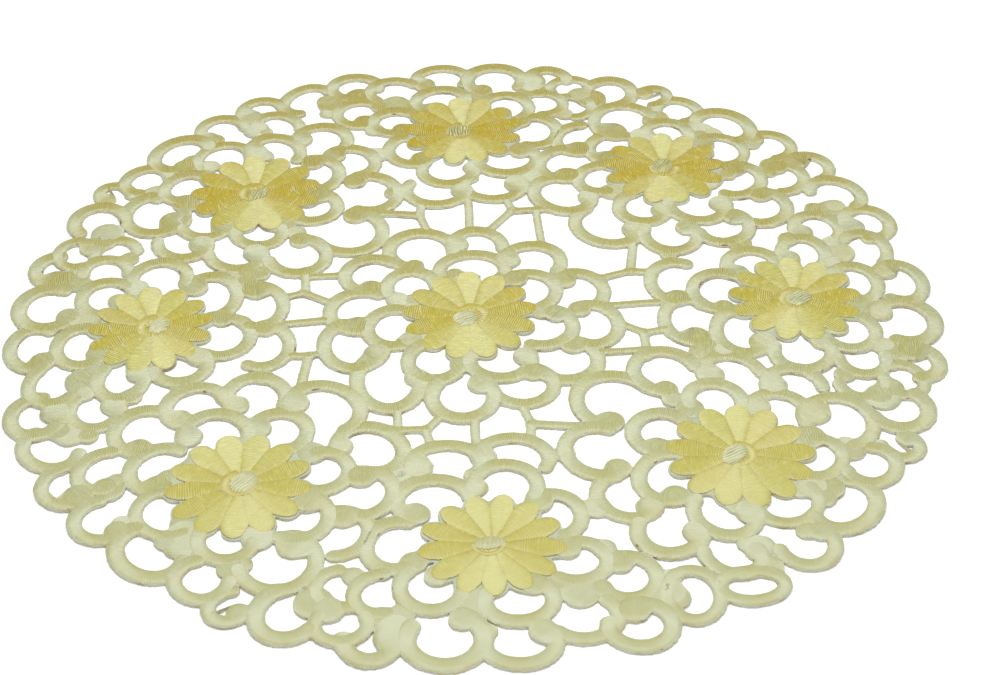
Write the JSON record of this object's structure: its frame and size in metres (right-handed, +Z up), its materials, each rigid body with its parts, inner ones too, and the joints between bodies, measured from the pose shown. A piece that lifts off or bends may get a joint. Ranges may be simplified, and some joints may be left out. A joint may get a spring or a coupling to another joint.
{
  "type": "lace doily",
  "caption": "Round openwork doily of padded daisies and satin-stitched scrolls with a scalloped rim, lying flat.",
  "frame": {"origin": "middle of the doily's underside, on the surface it lies on", "axes": "+Z up through the cloth, -Y towards the viewer of the picture, +X to the viewer's right"},
  "size_m": [0.4, 0.4, 0.0023],
  "materials": {
    "lace_thread": "cream-green rayon satin stitch, padded, with a soft sheen that turns from pale to old gold with the run of the thread"
  },
  "bodies": {
    "root": {"doily_lace": "lace_thread"}
  },
  "joints": []
}
